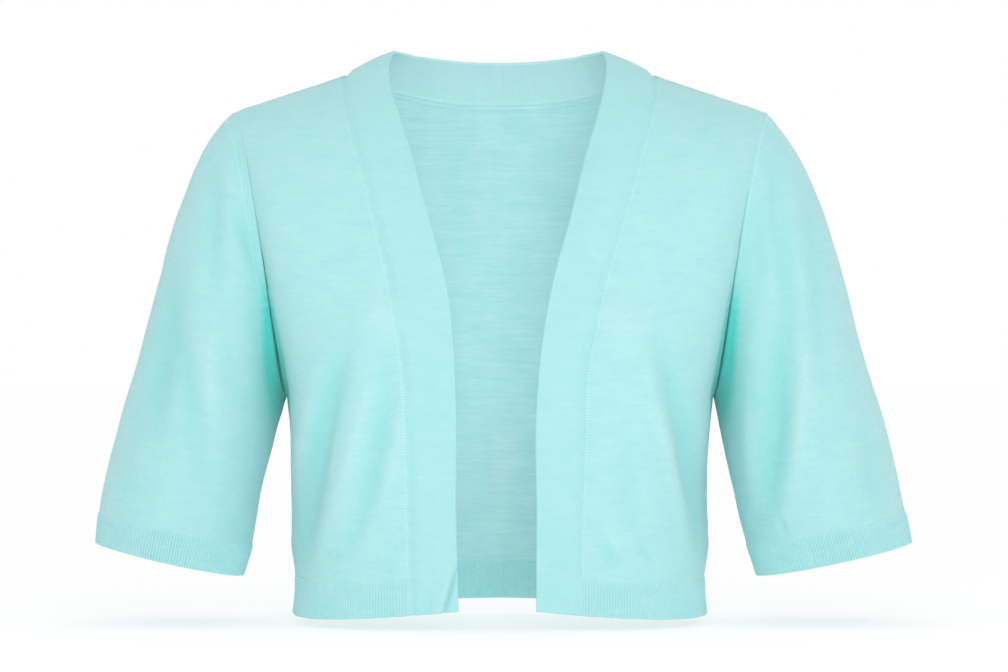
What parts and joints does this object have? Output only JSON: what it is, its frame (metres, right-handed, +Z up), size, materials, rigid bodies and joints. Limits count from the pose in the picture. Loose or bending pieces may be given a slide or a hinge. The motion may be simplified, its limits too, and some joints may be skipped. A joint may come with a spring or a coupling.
{
  "type": "open-front cropped knit cardigan",
  "caption": "Cropped open-front cardigan in fine turquoise jersey, filled out as worn, with elbow sleeves, ribbed hem and cuffs, and a plain band round the neck.",
  "frame": {"origin": "on the shoulders that carry the garment: midway between the two shoulder seams, 30 mm below the high point of the neck", "axes": "X across, with the wearer's left side at +X; Y front to back, with the front facing -Y; Z up"},
  "size_m": [0.602, 0.2132, 0.4164],
  "materials": {
    "jersey": "fine jersey knit, matt with a soft sheen",
    "rib": "fine 1x1 rib knit, matt",
    "band": "doubled plain jersey knit, matt"
  },
  "bodies": {
    "root": {"back": "jersey", "front_left": "jersey", "front_right": "jersey", "sleeve_left": "jersey", "sleeve_right": "jersey", "front_band": "band", "hem_rib_back": "rib", "hem_rib_front_left": "rib", "hem_rib_front_right": "rib", "cuff_rib_left": "rib", "cuff_rib_right": "rib"}
  },
  "joints": []
}
